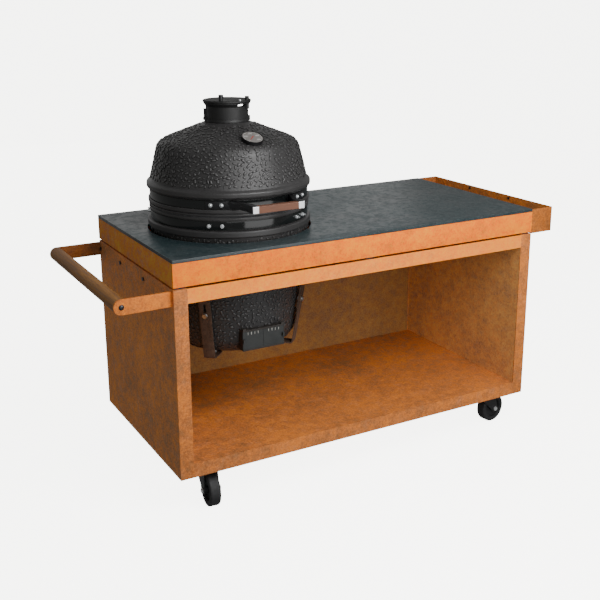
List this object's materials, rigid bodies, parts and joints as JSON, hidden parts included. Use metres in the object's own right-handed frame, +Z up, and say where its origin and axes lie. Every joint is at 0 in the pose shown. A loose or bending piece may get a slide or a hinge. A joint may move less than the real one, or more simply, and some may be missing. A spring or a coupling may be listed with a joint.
{
  "type": "kamado grill table",
  "caption": "Wheeled steel cabinet table with a slab worktop, push handle and planter, carrying a ceramic kamado grill with a hinged lid in a strap cradle.",
  "frame": {"origin": "on the floor, under the middle of the whole table", "axes": "+X to the planter end, +Y to the back, +Z up; the open front looks along -Y"},
  "size_m": [1.7354, 0.7482, 1.3363],
  "materials": {
    "corten_steel": "weathered rust, matt",
    "lining_steel": "weathered rust, matt",
    "zinc_steel": "zinc plated, satin",
    "black_steel": "powder coat, satin",
    "worktop_stone": "honed slate, satin",
    "glazed_ceramic": "pebbled glaze, satin",
    "fire_clay": "bare fired clay, matt",
    "band_steel": "gloss black",
    "felt": "felt, matt",
    "cast_iron": "enamelled, satin",
    "stainless": "brushed",
    "spring_steel": "oiled",
    "copper_sleeve": "brushed copper brown",
    "bar_wood": "oiled, satin",
    "dial_face": "printed, satin",
    "needle_black": "matt",
    "caster_steel": "satin",
    "caster_tyre": "matt",
    "door_steel": "satin"
  },
  "bodies": {
    "table": {"left_panel": "corten_steel", "right_panel": "corten_steel", "back_panel": "corten_steel", "lining_sheets": "lining_steel", "floor_tray": "corten_steel", "caster_rails": "corten_steel", "top_rails": "corten_steel", "cradle_plate": "black_steel", "cradle_hangers": "corten_steel", "cradle_straps": "corten_steel", "cradle_bolts": "zinc_steel", "apron_rails": "corten_steel", "worktop": "worktop_stone", "slab_bearers": "black_steel", "spacer_pads": "black_steel", "planter": "corten_steel", "handle_arms": "corten_steel", "handle_bar": "bar_wood", "handle_backing_bar": "black_steel", "table_bolts": "zinc_steel", "base_shell": "glazed_ceramic", "base_band": "band_steel", "base_gasket": "felt", "base_band_bolts": "zinc_steel", "draught_housing": "black_steel", "draught_screen": "stainless", "fire_bowl": "fire_clay", "fire_ring": "fire_clay", "charcoal_grate": "cast_iron", "cooking_grid": "stainless", "hinge_base_bracket": "black_steel", "hinge_pin": "stainless", "hinge_springs": "spring_steel", "caster_plates": "caster_steel"},
    "lid": {"dome_shell": "glazed_ceramic", "lid_band": "band_steel", "lid_band_bolts": "zinc_steel", "lid_gasket": "felt", "lid_handle_brackets": "black_steel", "lid_handle_sleeve": "copper_sleeve", "lid_handle_caps": "stainless", "hinge_lid_bracket": "black_steel", "thermometer_body": "black_steel", "thermometer_dial": "dial_face", "vent_collar": "cast_iron"},
    "thermometer_needle": {"thermometer_needle": "needle_black"},
    "vent": {"vent_body": "cast_iron"},
    "damper": {"damper_disc": "cast_iron", "damper_knob": "black_steel", "damper_screw": "zinc_steel"},
    "draught_door_left": {"draught_door_left": "door_steel"},
    "draught_door_right": {"draught_door_right": "door_steel"},
    "fork_front_left": {"caster_fork_front_left": "caster_steel"},
    "wheel_front_left": {"caster_wheel_front_left": "caster_tyre"},
    "fork_front_right": {"caster_fork_front_right": "caster_steel"},
    "wheel_front_right": {"caster_wheel_front_right": "caster_tyre"},
    "fork_rear_left": {"caster_fork_rear_left": "caster_steel"},
    "wheel_rear_left": {"caster_wheel_rear_left": "caster_tyre"},
    "fork_rear_right": {"caster_fork_rear_right": "caster_steel"},
    "wheel_rear_right": {"caster_wheel_rear_right": "caster_tyre"}
  },
  "joints": [
    {"name": "lid_hinge", "type": "hinge", "parent": "table", "child": "lid", "pos_m": [-0.31625, 0.307, 0.964], "axis": [-1, 0, 0], "range_deg": [0, 75]},
    {"name": "thermometer_turn", "type": "hinge", "parent": "lid", "child": "thermometer_needle", "pos_m": [-0.31625, -0.1951, 1.21118], "axis": [0, -0.4067, 0.9135], "range_deg": [-270, 0], "stiffness_Nm_per_rad": 0.002},
    {"name": "vent_flip", "type": "hinge", "parent": "lid", "child": "vent", "pos_m": [-0.38851, 0.03067, 1.25116], "axis": [-0.3907, -0.9205, 0], "range_deg": [0, 100]},
    {"name": "damper_swing", "type": "hinge", "parent": "vent", "child": "damper", "pos_m": [-0.26705, -0.0566, 1.30676], "axis": [0, 0, -1], "range_deg": [0, 120]},
    {"name": "draught_slide_left", "type": "slide", "parent": "table", "child": "draught_door_left", "axis": [-1, 0, 0], "range_m": [0, 0.055]},
    {"name": "draught_slide_right", "type": "slide", "parent": "table", "child": "draught_door_right", "axis": [1, 0, 0], "range_m": [0, 0.055]},
    {"name": "swivel_front_left", "type": "hinge", "parent": "table", "child": "fork_front_left", "pos_m": [-0.55725, -0.2805, 0.125], "axis": [0, 0, 1], "continuous": true},
    {"name": "spin_front_left", "type": "hinge", "parent": "fork_front_left", "child": "wheel_front_left", "pos_m": [-0.56117, -0.32533, 0.057], "axis": [0.9962, -0.0872, 0], "continuous": true},
    {"name": "swivel_front_right", "type": "hinge", "parent": "table", "child": "fork_front_right", "pos_m": [0.64475, -0.2805, 0.125], "axis": [0, 0, 1], "continuous": true},
    {"name": "spin_front_right", "type": "hinge", "parent": "fork_front_right", "child": "wheel_front_right", "pos_m": [0.68931, -0.27424, 0.057], "axis": [-0.1392, 0.9903, 0], "continuous": true},
    {"name": "swivel_rear_left", "type": "hinge", "parent": "table", "child": "fork_rear_left", "pos_m": [-0.55725, 0.2805, 0.125], "axis": [0, 0, 1], "continuous": true},
    {"name": "spin_rear_left", "type": "hinge", "parent": "fork_rear_left", "child": "wheel_rear_left", "pos_m": [-0.55411, 0.23561, 0.057], "axis": [0.9976, 0.0698, 0], "continuous": true},
    {"name": "swivel_rear_right", "type": "hinge", "parent": "table", "child": "fork_rear_right", "pos_m": [0.64475, 0.2805, 0.125], "axis": [0, 0, 1], "continuous": true},
    {"name": "spin_rear_right", "type": "hinge", "parent": "fork_rear_right", "child": "wheel_rear_right", "pos_m": [0.68841, 0.29139, 0.057], "axis": [-0.2419, 0.9703, 0], "continuous": true}
  ]
}
